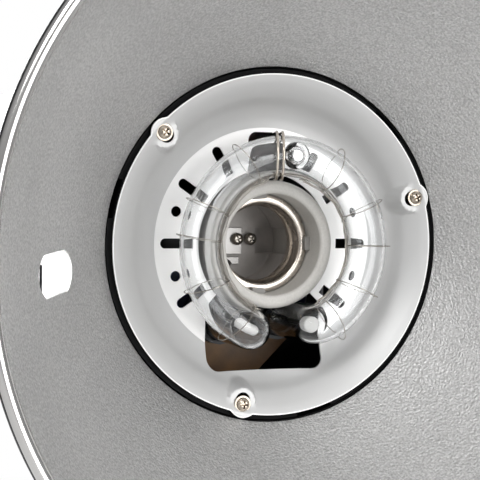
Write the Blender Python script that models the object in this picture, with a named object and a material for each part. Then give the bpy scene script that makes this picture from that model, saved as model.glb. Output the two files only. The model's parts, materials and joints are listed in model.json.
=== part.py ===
"""Studio flash head: ring flash tube, lampholder, bowl reflector, housing and stand bracket.

Run it with blender --background --python part.py, or from Blender's text editor.
Lengths are in millimetres and become metres in new_object. +Z is up and the light leaves along -Y.
Two frames are used. STAND has its origin at the mouth of the stand socket. HEAD has its origin
at the centre of the front plate's rim, on the head's own axis.
"""
from math import atan2, cos, hypot, pi, radians, sin, sqrt

import bmesh
import bpy
from mathutils import Matrix, Vector

MM = 0.001
GAP = 0.3                     # clearance between pieces that touch on the real object

# Where the head's own axis and the tilt pivot are
TILT_HEIGHT = 62.0            # tilt pivot above the mouth of the stand socket
PIVOT_BACK = 95.0             # tilt pivot behind the front plate's rim
PIVOT_DROP = 104.0            # tilt pivot below the head's axis
STAND = Vector((0, 0, 0))
HEAD = Vector((0, -PIVOT_BACK, TILT_HEIGHT + PIVOT_DROP))

# Front plate, a shallow pressed dish
PLATE_R = 55.5
PLATE_FLOOR_Y = 12.0
PLATE_SHEET = 0.8
SCREW_CIRCLE_R = 52.7
BOSS_CIRCLE_R = 52.1
SCREW_ANGLES = (17.7, 137.7, 257.7)

# Reflector bowl, a paraboloid from its hole to its rim
BOWL_HOLE_R = 57.8
BOWL_HOLE_Y = 0.9
BOWL_RIM_R = 106.1
BOWL_RIM_Y = -82.6
BOWL_SHEET = 1.2
BOWL_4F = (BOWL_RIM_R ** 2 - BOWL_HOLE_R ** 2) / (BOWL_HOLE_Y - BOWL_RIM_Y)
BEAD_R = 2.2
UMBRELLA_R = 81.35            # umbrella shaft from the head's axis
UMBRELLA_HOLE_ANGLE = 184.4
UMBRELLA_HOLE_R = 7.7
UMBRELLA_HOLE_FLATS = 12.0

# Barrel that carries the reflector
BARREL_R = 57.2
BARREL_FRONT_Y = 2.0
GROOVE_Y = (9.6, 13.2)
GROOVE_R = 55.6
LUG_ANGLES = (65.0, 185.0, 305.0)
LUG_HALF_ANGLE = 5.3
ENTRY_TURN = 20.0             # the lugs leave through slots this far back from rest
CATCH_NOTCH = (0.9, 93.5)     # the catch holds the collar anywhere along this notch

# Flash tube ring
RING_R = 28.8
RING_Y = -5.5
TUBE_R = 6.6
TUBE_BORE_R = 5.5
LEG_ANGLES = (-109.0, -65.0)
LEG_BEND = 7.0
LEG_END_Y = 33.0
CLAMP_X = -2.0                # the wire clamp crosses the top of the ring, a little askew
CLAMP_LEAN = 0.33

# Lampholder with an E27 shell
HOLDER_R = 21.0
HOLDER_Y = (3.5, 44.0)
HOLDER_MOUTH_R = 16.7
SHELL_R = 13.4
SHELL_Y = (14.3, 25.0)
THREAD_PITCH = 3.63

# Housing
HOUSE_W = 128.0
HOUSE_H = 132.0
HOUSE_CORNER = 34.0
HOUSE_WALL = 2.8
HOUSE_FRONT_Y = 20.0
HOUSE_REAR_Y = 228.0
REAR_PANEL_T = 3.0

# Bracket under the housing and the stand socket
EAR_X = (15.0, 20.0)
EAR_R = 15.0
SOCKET_BORE_R = 8.15          # takes a 5/8 inch (16 mm) stand spigot
SOCKET_BORE_DEPTH = 42.0
SOCKET_HALF = 14.0
SOCKET_KNOB_Z = 22.0
UMBRELLA_TUBE_R = 7.0
UMBRELLA_BORE_R = 4.6
UMBRELLA_KNOB_Y = 56.0


# ---------------------------------------------------------------- scene and material helpers

def clear_scene():
    for obj in list(bpy.data.objects):
        bpy.data.objects.remove(obj, do_unlink=True)


def material(name, colour, roughness, metallic=0.0):
    mat = bpy.data.materials.get(name)
    if mat is None:
        mat = bpy.data.materials.new(name)
        mat.use_nodes = True
        shader = mat.node_tree.nodes["Principled BSDF"]
        shader.inputs["Base Color"].default_value = (*colour, 1.0)
        shader.inputs["Roughness"].default_value = roughness
        shader.inputs["Metallic"].default_value = metallic
    return mat


def materials():
    return {
        "bowl": material("spun_aluminium", (0.62, 0.62, 0.63), 0.38, 1.0),
        "plate": material("pressed_aluminium", (0.72, 0.72, 0.73), 0.30, 1.0),
        "nickel": material("nickel_plated", (0.70, 0.66, 0.62), 0.18, 1.0),
        "steel": material("zinc_steel", (0.60, 0.61, 0.63), 0.32, 1.0),
        "black": material("black_plastic", (0.018, 0.018, 0.02), 0.42),
        "knob": material("knob_plastic", (0.03, 0.03, 0.032), 0.5),
        "rubber": material("rubber", (0.02, 0.02, 0.02), 0.75),
        "ceramic": material("steatite", (0.66, 0.64, 0.60), 0.45),
        "glass": material("quartz_glass", (0.9, 0.92, 0.95), 0.03),
        "board": material("phenolic_board", (0.16, 0.09, 0.035), 0.55),
        "green": material("circuit_board", (0.02, 0.16, 0.06), 0.4),
        "sleeve": material("capacitor_sleeve", (0.02, 0.03, 0.09), 0.35),
        "alloy": material("cast_alloy", (0.06, 0.06, 0.065), 0.45, 0.3),
        "red": material("red_plastic", (0.45, 0.02, 0.02), 0.4),
        "lens": material("tinted_lens", (0.25, 0.02, 0.02), 0.1),
        "window": material("display_window", (0.02, 0.03, 0.03), 0.08),
        "tungsten": material("electrode", (0.55, 0.54, 0.52), 0.4, 0.8),
    }


def new_empty(name, at, parent=None):
    obj = bpy.data.objects.new(name, None)
    bpy.context.collection.objects.link(obj)
    obj.empty_display_size = 0.02
    attach(obj, at * MM, parent)
    return obj


def attach(obj, world_location, parent):
    """Put an object at a world location, with or without a parent that only has a location."""
    obj["world_location"] = tuple(world_location)
    obj.location = world_location
    if parent is not None:
        obj.parent = parent
        obj.matrix_parent_inverse = Matrix.Translation(-Vector(parent["world_location"]))


def new_object(name, bm, mat, frame=HEAD, origin=(0, 0, 0), parent=None, smooth=32.0):
    """Turn a bmesh in millimetres into an object whose origin is at origin in the frame."""
    origin = Vector(origin)
    bmesh.ops.translate(bm, verts=bm.verts, vec=-origin)
    bmesh.ops.scale(bm, verts=bm.verts, vec=(MM, MM, MM))
    bmesh.ops.recalc_face_normals(bm, faces=bm.faces)
    mesh = bpy.data.meshes.new(name)
    bm.to_mesh(mesh)
    bm.free()
    mesh.shade_smooth()
    mesh.set_sharp_from_angle(angle=radians(smooth))
    if mat is not None:
        mesh.materials.append(mat)
    obj = bpy.data.objects.new(name, mesh)
    bpy.context.collection.objects.link(obj)
    attach(obj, (frame + origin) * MM, parent)
    return obj


def combine(obj, tool_bm, operation, name, frame=HEAD):
    """Join or cut obj with a hidden tool solid through an exact Boolean."""
    tool = new_object(name, tool_bm, None, frame=frame)
    tool.hide_render = True
    tool.display_type = "WIRE"
    boolean = obj.modifiers.new(name, "BOOLEAN")
    boolean.operation = operation
    boolean.solver = "EXACT"
    boolean.object = tool
    return tool


def cut(obj, tool_bm, name, frame=HEAD):
    return combine(obj, tool_bm, "DIFFERENCE", name, frame)


def join(obj, tool_bm, name, frame=HEAD):
    return combine(obj, tool_bm, "UNION", name, frame)


# ---------------------------------------------------------------- solids

def add_rings(bm, rings, closed_profile):
    """Skin rings of vertices; a ring of one vertex is a pole."""
    pairs = list(zip(rings, rings[1:]))
    if closed_profile:
        pairs.append((rings[-1], rings[0]))
    for low, high in pairs:
        count = max(len(low), len(high))
        for i in range(count):
            j = (i + 1) % count
            if len(low) == 1:
                bm.faces.new((low[0], high[i], high[j]))
            elif len(high) == 1:
                bm.faces.new((low[i], high[0], low[j]))
            else:
                bm.faces.new((low[i], high[i], high[j], low[j]))


def turned(profile, segments, centre=(0, 0), bm=None):
    """Solid of revolution about Y through centre (x, z) from a profile of (radius, y)."""
    bm = bm or bmesh.new()
    rings = []
    for radius, y in profile:
        if radius < 1e-6:
            rings.append([bm.verts.new((centre[0], y, centre[1]))])
            continue
        ring = []
        for k in range(segments):
            angle = 2 * pi * k / segments
            x = centre[0] + radius * cos(angle)
            z = centre[1] + radius * sin(angle)
            ring.append(bm.verts.new((x, y, z)))
        rings.append(ring)
    add_rings(bm, rings, profile[0][0] > 1e-6)
    return bm


def cylinder(radius, y0, y1, segments=24, centre=(0, 0), bm=None):
    """Cylinder along Y."""
    return turned([(0, y0), (radius, y0), (radius, y1), (0, y1)], segments, centre, bm=bm)


def along(bm, axis, centre):
    """Turn a solid made along +Y about the origin so that it runs along axis, then move it."""
    turn = Vector((0, 1, 0)).rotation_difference(Vector(axis)).to_matrix()
    bmesh.ops.rotate(bm, verts=bm.verts, matrix=turn)
    bmesh.ops.translate(bm, verts=bm.verts, vec=Vector(centre))
    return bm


def box(x, y, z):
    bm = bmesh.new()
    size = Vector((x[1] - x[0], y[1] - y[0], z[1] - z[0]))
    middle = Vector((x[0] + x[1], y[0] + y[1], z[0] + z[1])) / 2
    verts = bmesh.ops.create_cube(bm, size=1.0)["verts"]
    bmesh.ops.scale(bm, verts=verts, vec=size)
    bmesh.ops.translate(bm, verts=verts, vec=middle)
    return bm


def between(first, last):
    """Solid between two closed outlines with the same number of points."""
    bm = bmesh.new()
    low = [bm.verts.new(point) for point in first]
    high = [bm.verts.new(point) for point in last]
    bm.faces.new(low)
    bm.faces.new(list(reversed(high)))
    for i in range(len(low)):
        j = (i + 1) % len(low)
        bm.faces.new((low[i], high[i], high[j], low[j]))
    return bm


def prism(outline, y0, y1):
    """Extrude a closed outline of (x, z) points along Y."""
    return between([(x, y0, z) for x, z in outline], [(x, y1, z) for x, z in outline])


def prism_x(outline, x0, x1):
    """Extrude a closed outline of (y, z) points along X."""
    return between([(x0, y, z) for y, z in outline], [(x1, y, z) for y, z in outline])


def prism_z(outline, z0, z1):
    """Extrude a closed outline of (x, y) points along Z."""
    return between([(x, y, z0) for x, y in outline], [(x, y, z1) for x, y in outline])


def arc(cx, cz, radius, start, end, steps):
    """Points of an arc, angles in degrees, both ends included."""
    points = []
    for k in range(steps + 1):
        angle = radians(start + (end - start) * k / steps)
        points.append((cx + radius * cos(angle), cz + radius * sin(angle)))
    return points


def rounded_outline(x, z, radius, steps=3):
    """Rectangle with round corners, x and z as (low, high)."""
    corners = ((x[1], z[0], -90), (x[1], z[1], 0), (x[0], z[1], 90), (x[0], z[0], 180))
    points = []
    for cx, cz, start in corners:
        inner_x = cx - radius if cx == x[1] else cx + radius
        inner_z = cz - radius if cz == z[1] else cz + radius
        points += arc(inner_x, inner_z, radius, start, start + 90, steps)
    return points


def pipe(path, radius, sides, bore=0.0):
    """Round bar, or open tube where bore is given, along a path of points."""
    bm = bmesh.new()
    points = [Vector(p) for p in path]
    tangents = []
    for i in range(len(points)):
        before = points[max(i - 1, 0)]
        after = points[min(i + 1, len(points) - 1)]
        tangents.append((after - before).normalized())
    side = tangents[0].orthogonal().normalized()
    frames = []
    for tangent in tangents:
        side = (side - tangent * side.dot(tangent)).normalized()
        frames.append((side, tangent.cross(side)))

    def rings_at(r):
        rings = []
        for point, (u, v) in zip(points, frames):
            ring = []
            for k in range(sides):
                angle = 2 * pi * k / sides
                ring.append(bm.verts.new(point + u * (r * cos(angle)) + v * (r * sin(angle))))
            rings.append(ring)
        return rings

    outer = rings_at(radius)
    if bore:
        add_rings(bm, outer + list(reversed(rings_at(bore))), True)
    else:
        first = [bm.verts.new(points[0])]
        last = [bm.verts.new(points[-1])]
        add_rings(bm, [first] + outer + [last], False)
    return bm


def lobed_knob(radius, depth, lobes, dip, steps=3):
    """Knob along +Y from 0 to depth, its rim with shallow finger dips."""
    outline = []
    count = lobes * steps * 2
    for k in range(count):
        angle = 2 * pi * k / count
        r = radius - dip * (0.5 + 0.5 * cos(lobes * angle))
        outline.append((r * cos(angle), r * sin(angle)))
    return prism(outline, 0.0, depth)


def polar(radius, degrees_):
    return radius * cos(radians(degrees_)), radius * sin(radians(degrees_))


# ---------------------------------------------------------------- reflector

def bowl_y(radius):
    return BOWL_HOLE_Y - (radius ** 2 - BOWL_HOLE_R ** 2) / BOWL_4F


def bowl_profile(steps=6):
    radii = [BOWL_HOLE_R + (BOWL_RIM_R - BOWL_HOLE_R) * k / steps for k in range(steps + 1)]
    inner = [(r, bowl_y(r)) for r in radii]
    outer = []
    for r, y in inner:
        slope = 2 * r / BOWL_4F
        length = hypot(slope, 1.0)
        outer.append((r + BOWL_SHEET * slope / length, y + BOWL_SHEET / length))
    bead_r, bead_y = BOWL_RIM_R + BEAD_R, BOWL_RIM_Y - 0.6
    bead = arc(bead_r, bead_y, BEAD_R, 200, 380, 5)
    return inner[:-1] + bead + list(reversed(outer[:-1]))


def umbrella_cutter():
    """Round hole with two flats, cut straight through the bowl parallel to the axis."""
    half = UMBRELLA_HOLE_FLATS / 2
    reach = atan2(half, sqrt(UMBRELLA_HOLE_R ** 2 - half ** 2)) * 180 / pi
    outline = arc(0, 0, UMBRELLA_HOLE_R, -reach, reach, 5)
    outline += arc(0, 0, UMBRELLA_HOLE_R, 180 - reach, 180 + reach, 5)
    bm = prism(outline, -70.0, 5.0)
    turn = Matrix.Rotation(-radians(UMBRELLA_HOLE_ANGLE - 180), 3, "Y")
    bmesh.ops.rotate(bm, verts=bm.verts, matrix=turn)
    x, z = polar(UMBRELLA_R, UMBRELLA_HOLE_ANGLE)
    bmesh.ops.translate(bm, verts=bm.verts, vec=(x, 0, z))
    return bm


def build_reflector(mats, axis):
    dish = new_object("reflector_dish", turned(bowl_profile(), 48), mats["bowl"], parent=axis)
    cut(dish, umbrella_cutter(), "umbrella_hole_cutter")

    front = bowl_y(BOWL_HOLE_R) + BOWL_SHEET + GAP
    ring = [(57.7, front), (62.0, front), (62.0, 8.6), (60.2, 9.6), (60.2, 15.0), (57.7, 15.0)]
    collar = new_object("reflector_collar", turned(ring, 40), mats["steel"], parent=axis)
    for k, angle in enumerate(LUG_ANGLES):
        start, end = angle - LUG_HALF_ANGLE, angle + LUG_HALF_ANGLE
        outline = arc(0, 0, 58.8, start, end, 3) + arc(0, 0, GROOVE_R + 0.4, end, start, 3)
        join(collar, prism(outline, 10.2, 12.2), f"collar_lug_{k + 1}")
    start, end = CATCH_NOTCH
    outline = arc(0, 0, 62.0, start, end, 8) + arc(0, 0, 56.5, end, start, 8)
    cut(collar, prism(outline, 12.5, 17.0), "catch_notch_cutter")


# ---------------------------------------------------------------- front of the head

def build_bezel(mats, head):
    flange = rounded_outline((-HOUSE_W / 2, HOUSE_W / 2), (-HOUSE_H / 2, HOUSE_H / 2), HOUSE_CORNER, 5)
    bezel = new_object("front_bezel", prism(flange, 16.0, HOUSE_FRONT_Y), mats["black"], parent=head)
    join(bezel, cylinder(BARREL_R, BARREL_FRONT_Y, 18.0, 48), "barrel")
    mouth = [(0, 1.0), (54.7, 1.0), (54.7, 8.4), (49.6, 8.4), (49.6, 21.0), (0, 21.0)]
    cut(bezel, turned(mouth, 48), "mouth_cutter")
    recesses = bmesh.new()
    for angle in SCREW_ANGLES:
        cylinder(5.3, 1.0, 8.2, 14, polar(BOSS_CIRCLE_R, angle), recesses)
    cut(bezel, recesses, "ear_recess_cutter")
    groove = [(GROOVE_R, GROOVE_Y[0]), (60.0, GROOVE_Y[0]), (60.0, GROOVE_Y[1]), (GROOVE_R, GROOVE_Y[1])]
    cut(bezel, turned(groove, 44), "lug_groove_cutter")
    holes = bmesh.new()
    for angle in SCREW_ANGLES:
        cylinder(1.7, 1.0, 18.0, 8, polar(SCREW_CIRCLE_R, angle), holes)
    cut(bezel, holes, "screw_hole_cutter")
    for k, angle in enumerate(LUG_ANGLES):
        start = angle - ENTRY_TURN - LUG_HALF_ANGLE - 1.0
        end = angle - ENTRY_TURN + LUG_HALF_ANGLE + 1.2
        outline = arc(0, 0, 60.0, start, end, 2) + arc(0, 0, GROOVE_R + 0.2, end, start, 2)
        cut(bezel, prism(outline, 0.5, 11.0), f"lug_entry_cutter_{k + 1}")
    cut(bezel, box((-7.2, 7.2), (13.4, 21.0), (58.2, 70.0)), "catch_slot_cutter")


def plate_profile():
    front = [(23.6, 12.0), (37.5, 12.0), (41.0, 11.1), (44.5, 8.8), (48.5, 5.1), (52.5, 1.8), (PLATE_R, 0.0)]
    back = [(r, y + PLATE_SHEET) for r, y in front]
    return front + list(reversed(back))


def slot_outline(angle, inner, outer, half):
    """Radial slot with a square inner end and a round outer end."""
    tip = arc(outer - half, 0, half, -90, 90, 3)
    points = [(inner, -half)] + tip + [(inner, half)]
    c, s = cos(radians(angle)), sin(radians(angle))
    return [(x * c - z * s, x * s + z * c) for x, z in points]


def build_plate(mats, head):
    plate = new_object("front_plate", turned(plate_profile(), 40), mats["plate"], parent=head)
    for k, angle in enumerate(SCREW_ANGLES):
        boss = [(0, 0.8), (4.4, 0.8), (5.0, 7.9), (0, 7.9)]
        join(plate, turned(boss, 12, polar(BOSS_CIRCLE_R, angle)), f"plate_boss_{k + 1}")
        hole = polar(SCREW_CIRCLE_R, angle)
        cut(plate, cylinder(4.0, -2.0, 0.82, 16, hole), f"plate_pocket_cutter_{k + 1}")
        cut(plate, cylinder(2.1, -1.0, 9.0, 8, hole), f"plate_hole_cutter_{k + 1}")
    for k, angle in enumerate((180, 146, 214, 120, 0, 34, -36, 60)):
        cut(plate, prism(slot_outline(angle, 26.0, 36.4, 1.65), 8.0, 15.0), f"vent_slot_cutter_{k + 1}")
    for k, angle in enumerate((161.5, 199.0, 18.5, -19.0)):
        cut(plate, cylinder(1.75, 8.0, 15.0, 8, polar(32.8, angle)), f"vent_hole_cutter_{k + 1}")
    cut(plate, prism(rounded_outline((-6.4, 6.4), (28.0, 37.0), 2.5, 2), 8.0, 15.0), "clip_window_cutter")
    window = rounded_outline((-20.6, 20.6), (-42.0, -19.0), 4.0, 3)
    cut(plate, prism(window, 4.0, 15.0), "tube_window_cutter")
    cut(plate, box((-17.6, 17.6), (8.0, 15.0), (-22.0, -10.0)), "tube_window_neck_cutter")
    for k, angle in enumerate(SCREW_ANGLES):
        screw = [(0, -1.5), (1.3, -1.4), (2.1, -0.6), (2.1, 0.0), (2.8, 0.0), (2.8, 0.5),
                 (1.4, 0.5), (1.4, 16.5), (0, 17.2)]
        centre = polar(SCREW_CIRCLE_R, angle)
        obj = new_object(f"plate_screw_{k + 1}", turned(screw, 12, centre), mats["nickel"], parent=head)
        for n, (half_x, half_z) in enumerate(((1.3, 0.3), (0.3, 1.3))):
            x, z = centre
            recess = box((x - half_x, x + half_x), (-2.0, -0.7), (z - half_z, z + half_z))
            cut(obj, recess, f"plate_screw_recess_{k + 1}_{n + 1}")


def build_lampholder(mats, head):
    front, back = HOLDER_Y
    seat = 15.3
    body = [(18.0, front), (19.8, front + 0.4), (HOLDER_R, front + 2.4), (HOLDER_R, 25.0),
            (18.0, 27.0), (18.0, back), (3.2, back), (3.2, 41.0), (14.5, 41.0), (14.5, seat),
            (HOLDER_MOUTH_R, seat), (HOLDER_MOUTH_R, front + 0.8)]
    holder = new_object("lampholder_ceramic", turned(body, 32), mats["ceramic"], parent=head)
    for k, angle in enumerate((0, 90, 180, 270)):
        c, s = cos(radians(angle)), sin(radians(angle))
        outline = [(15.2, -2.0), (17.4, -2.0), (17.4, 2.0), (15.2, 2.0)]
        turned_outline = [(x * c - z * s, x * s + z * c) for x, z in outline]
        join(holder, prism(turned_outline, 12.4, 13.9), f"holder_lug_{k + 1}")

    turns = int((SHELL_Y[1] - SHELL_Y[0] - 3.0) / THREAD_PITCH)
    inner, outer = [], []
    for k in range(turns * 2 + 1):
        y = SHELL_Y[0] + 2.6 + k * THREAD_PITCH / 2
        bulge = 0.0 if k % 2 else -0.8
        inner.append((SHELL_R + bulge, y))
        outer.append((SHELL_R + bulge + 0.5, y))
    flange = [(16.2, SHELL_Y[0]), (SHELL_R, SHELL_Y[0])]
    back_of_flange = [(SHELL_R + 0.5, SHELL_Y[0] + 0.6), (16.2, SHELL_Y[0] + 0.6)]
    profile = flange + inner + list(reversed(outer)) + back_of_flange
    new_object("lampholder_shell", turned(profile, 28), mats["nickel"], parent=head)

    strip = [(-8.0, 4.4), (-8.0, -8.6), (1.5, -8.6), (1.5, -6.0), (-6.4, -6.0), (-6.4, -5.0),
             (2.4, -5.0), (2.4, 4.4)]
    contact = new_object("lampholder_contact", prism(strip, 39.6, 40.4), mats["nickel"], parent=head)
    cut(contact, cylinder(2.3, 38.0, 42.0, 12, (-3.5, -9.1)), "contact_notch_cutter")
    for k, x in enumerate((0.4, 5.4)):
        rivet = [(0, 37.6), (1.5, 37.9), (2.1, 38.6), (2.1, 39.3), (0, 39.3)]
        new_object(f"lampholder_screw_{k + 1}", turned(rivet, 12, (x, 0.4)), mats["nickel"], parent=head)

    bar = box((-56.0, 56.0), (29.0, 30.5), (-7.0, 7.0))
    bracket = new_object("lampholder_bracket", bar, mats["steel"], parent=head)
    join(bracket, cylinder(20.2, 29.2, 30.3, 24), "bracket_ring")
    cut(bracket, cylinder(18.0 + GAP, 28.0, 32.0, 24), "bracket_hole_cutter")
    for k, x in enumerate((-52.0, 52.0)):
        join(bracket, cylinder(4.0, HOUSE_FRONT_Y + GAP, 29.6, 12, (x, 0.0)), f"bracket_post_{k + 1}")


# ---------------------------------------------------------------- flash tube

def ring_point(angle, y=RING_Y, radius=RING_R):
    x, z = polar(radius, angle)
    return x, y, z


def tube_path(arc_steps=18, bend_steps=3):
    """Leg, bend, ring, bend and leg, from the left leg's end to the right leg's end."""
    left, right = LEG_ANGLES
    bend_angle = LEG_BEND / RING_R * 180 / pi
    path = [ring_point(left, LEG_END_Y), ring_point(left, 16.0)]
    for k in range(bend_steps):
        t = radians(90 * k / bend_steps)
        path.append(ring_point(left - bend_angle * (1 - cos(t)), RING_Y + LEG_BEND * (1 - sin(t))))
    start, end = left - bend_angle, right + bend_angle - 360
    for k in range(arc_steps + 1):
        path.append(ring_point(start + (end - start) * k / arc_steps))
    for k in reversed(range(bend_steps)):
        t = radians(90 * k / bend_steps)
        path.append(ring_point(right + bend_angle * (1 - cos(t)), RING_Y + LEG_BEND * (1 - sin(t))))
    path += [ring_point(right, 16.0), ring_point(right, LEG_END_Y)]
    return path


def build_flash_tube(mats, head):
    tube = new_object("flash_tube", pipe(tube_path(), TUBE_R, 12, TUBE_BORE_R), mats["glass"], parent=head)
    nub = [(0, -13.8), (2.4, -13.6), (3.9, -12.6), (4.3, -11.6), (4.3, -9.3), (0, -9.3)]
    centre = polar(RING_R, 89.0)
    join(tube, turned([(r, y - 0.9) for r, y in nub], 12, centre), "exhaust_tip")

    for name, angle in zip(("tube_cathode", "tube_anode"), LEG_ANGLES):
        rod = [(0, 1.5), (2.0, 2.0), (2.5, 3.2), (2.5, 10.0), (0.8, 10.6), (0.8, 35.6), (0, 35.6)]
        new_object(name, turned(rod, 10, polar(RING_R, angle)), mats["tungsten"], parent=head)
    board_outline = [(-25.0, -50.0), (4.0, -50.0), (24.0, -30.0), (24.0, -23.6), (-25.0, -23.6)]
    board = new_object("tube_board", prism(board_outline, 36.2, 37.8), mats["board"], parent=head)
    for name, angle in zip(("tube_clip_left", "tube_clip_right"), LEG_ANGLES):
        cup = [(7.0, 28.0), (8.2, 28.0), (8.2, 35.9), (1.2, 35.9), (1.2, 34.6), (7.0, 34.6)]
        new_object(name, turned(cup, 16, polar(RING_R, angle)), mats["steel"], parent=head)
        cut(board, cylinder(1.2, 35.0, 39.0, 8, polar(RING_R, angle)), f"{name}_lead_hole_cutter")

    reach = TUBE_R + GAP + 0.6
    loop = [(17.0, RING_R + reach), (3.0, RING_R + reach)]
    for k in range(9):
        t = radians(180 * k / 8)
        loop.append((RING_Y - reach * sin(t), RING_R + reach * cos(t)))
    loop.append((1.5, RING_R - reach))
    loop = [(CLAMP_X + CLAMP_LEAN * (y - RING_Y), y, z) for y, z in loop]
    new_object("tube_clamp", pipe(loop, 0.6, 6), mats["nickel"], parent=head)

    wire_r = 0.25
    inner_r = RING_R - TUBE_R - GAP - wire_r
    arc_wire = [ring_point(a, RING_Y, inner_r) for a in range(-112, -254, -14)]
    new_object("trigger_wire_left", pipe(arc_wire, wire_r, 5), mats["nickel"], parent=head)
    arc_wire = [ring_point(a, RING_Y, inner_r) for a in range(78, -64, -14)]
    new_object("trigger_wire_right", pipe(arc_wire, wire_r, 5), mats["nickel"], parent=head)


# ---------------------------------------------------------------- housing

def shell_outline(top):
    """One half of the housing's wall, seen along Y."""
    half_w, half_h = HOUSE_W / 2, HOUSE_H / 2
    sign = 1 if top else -1
    outer, inner = [], []
    for wall, points in ((0.0, outer), (HOUSE_WALL, inner)):
        radius = HOUSE_CORNER - wall
        corner_x, corner_z = half_w - HOUSE_CORNER, half_h - HOUSE_CORNER
        right = arc(corner_x, corner_z, radius, 0, 90, 5)
        left = [(-x, z) for x, z in reversed(right)]
        points += [(half_w - wall, GAP / 2)] + right + left + [(-half_w + wall, GAP / 2)]
    return [(x, sign * z) for x, z in outer + list(reversed(inner))]


def build_housing(mats, head):
    y0, y1 = HOUSE_FRONT_Y + GAP, HOUSE_REAR_Y - GAP
    for top in (True, False):
        name = "housing_top" if top else "housing_bottom"
        shell = new_object(name, prism(shell_outline(top), y0, y1), mats["black"], parent=head)
        for k in range(6):
            y = 62.0 + 12.0 * k
            z = (10.0, 26.0) if top else (-26.0, -10.0)
            cut(shell, box((-70.0, 70.0), (y, y + 4.0), z), f"{name}_vent_cutter_{k + 1}")
        if top:
            cut(shell, box((-7.2, 7.2), (19.0, 40.0), (58.2, 70.0)), "catch_way_cutter")
            for k, y in enumerate((84.0, 176.0)):
                hole = along(cylinder(2.3, 0, 10, 10), (0, 0, 1), (0, y, 60))
                cut(shell, hole, f"handle_hole_cutter_{k + 1}")
        else:
            for k, (x, y) in enumerate(((-12, 74), (12, 116))):
                hole = along(cylinder(2.3, 0, 10, 10), (0, 0, -1), (x, y, -60))
                cut(shell, hole, f"bracket_hole_cutter_{k + 1}")

    half_w, half_h = HOUSE_W / 2, HOUSE_H / 2
    outline = rounded_outline((-half_w, half_w), (-half_h, half_h), HOUSE_CORNER, 5)
    rear = HOUSE_REAR_Y
    solid = prism(outline, rear, rear + REAR_PANEL_T)
    panel = new_object("rear_panel", solid, mats["black"], parent=head)
    deep = (rear - 2.0, rear + 6.0)
    for k in range(5):
        z = 16.0 + 6.4 * k
        half = sqrt(23.0 ** 2 - (z + 1.5 - 30.3) ** 2)
        cut(panel, box((-half, half), deep, (z, z + 3.4)), f"grille_cutter_{k + 1}")
    cut(panel, box((-46.6, -18.4), deep, (-53.6, -31.4)), "inlet_cutter")
    cut(panel, box((28.6, 49.4), deep, (-47.4, -32.6)), "switch_cutter")
    for name, radius, x, z in (
        ("power_dial", 4.0, -34.0, -6.0),
        ("lamp_dial", 4.0, 34.0, -6.0),
        ("test", 5.4, 0.0, -20.0),
        ("mode", 3.4, 16.5, -20.0),
        ("beep", 3.4, -16.5, -20.0),
        ("sync", 5.4, -8.0, -42.0),
        ("fuse", 6.6, 14.0, -42.0),
        ("sensor", 5.2, 44.0, 36.0),
    ):
        hole = cylinder(radius + GAP, rear - 2, rear + 6, 20, (x, z))
        cut(panel, hole, f"{name}_hole_cutter")
    cut(panel, box((-15.4, 15.4), deep, (-9.4, 5.4)), "window_cutter")
    for k, (x, z) in enumerate(((-48, 46), (48, 46), (-56, -20), (56, -20))):
        screw = [(0, -8), (1.3, -8), (1.3, 0), (2.6, 0), (2.6, 1.4), (1.6, 2.0), (0, 2.0)]
        face = rear + REAR_PANEL_T + GAP
        solid = along(turned(screw, 12), (0, 1, 0), (x, face, z))
        obj = new_object(f"rear_screw_{k + 1}", solid, mats["steel"], parent=head)
        slot = box((x - 1.5, x + 1.5), (face + 1.1, face + 4), (z - 0.35, z + 0.35))
        cut(obj, slot, f"rear_screw_slot_{k + 1}")
        cut(panel, cylinder(1.7, rear - 2, rear + 6, 10, (x, z)), f"rear_screw_hole_{k + 1}")


def build_handle(mats, head):
    """Carrying handle, an arch that stands on two feet on top of the housing."""
    base = HOUSE_H / 2 + GAP
    outline = [(70.0, base), (190.0, base)]
    outline += arc(172.0, base + 27.0, 18.0, 0, 90, 4)
    outline += arc(88.0, base + 27.0, 18.0, 90, 180, 4)
    handle = new_object("carry_handle", prism_x(outline, -9.0, 9.0), mats["knob"], parent=head)
    gap_outline = rounded_outline((94.0, 166.0), (base - 6.0, base + 33.0), 10.0, 3)
    cut(handle, prism_x(gap_outline, -12.0, 12.0), "grip_gap_cutter")


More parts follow.
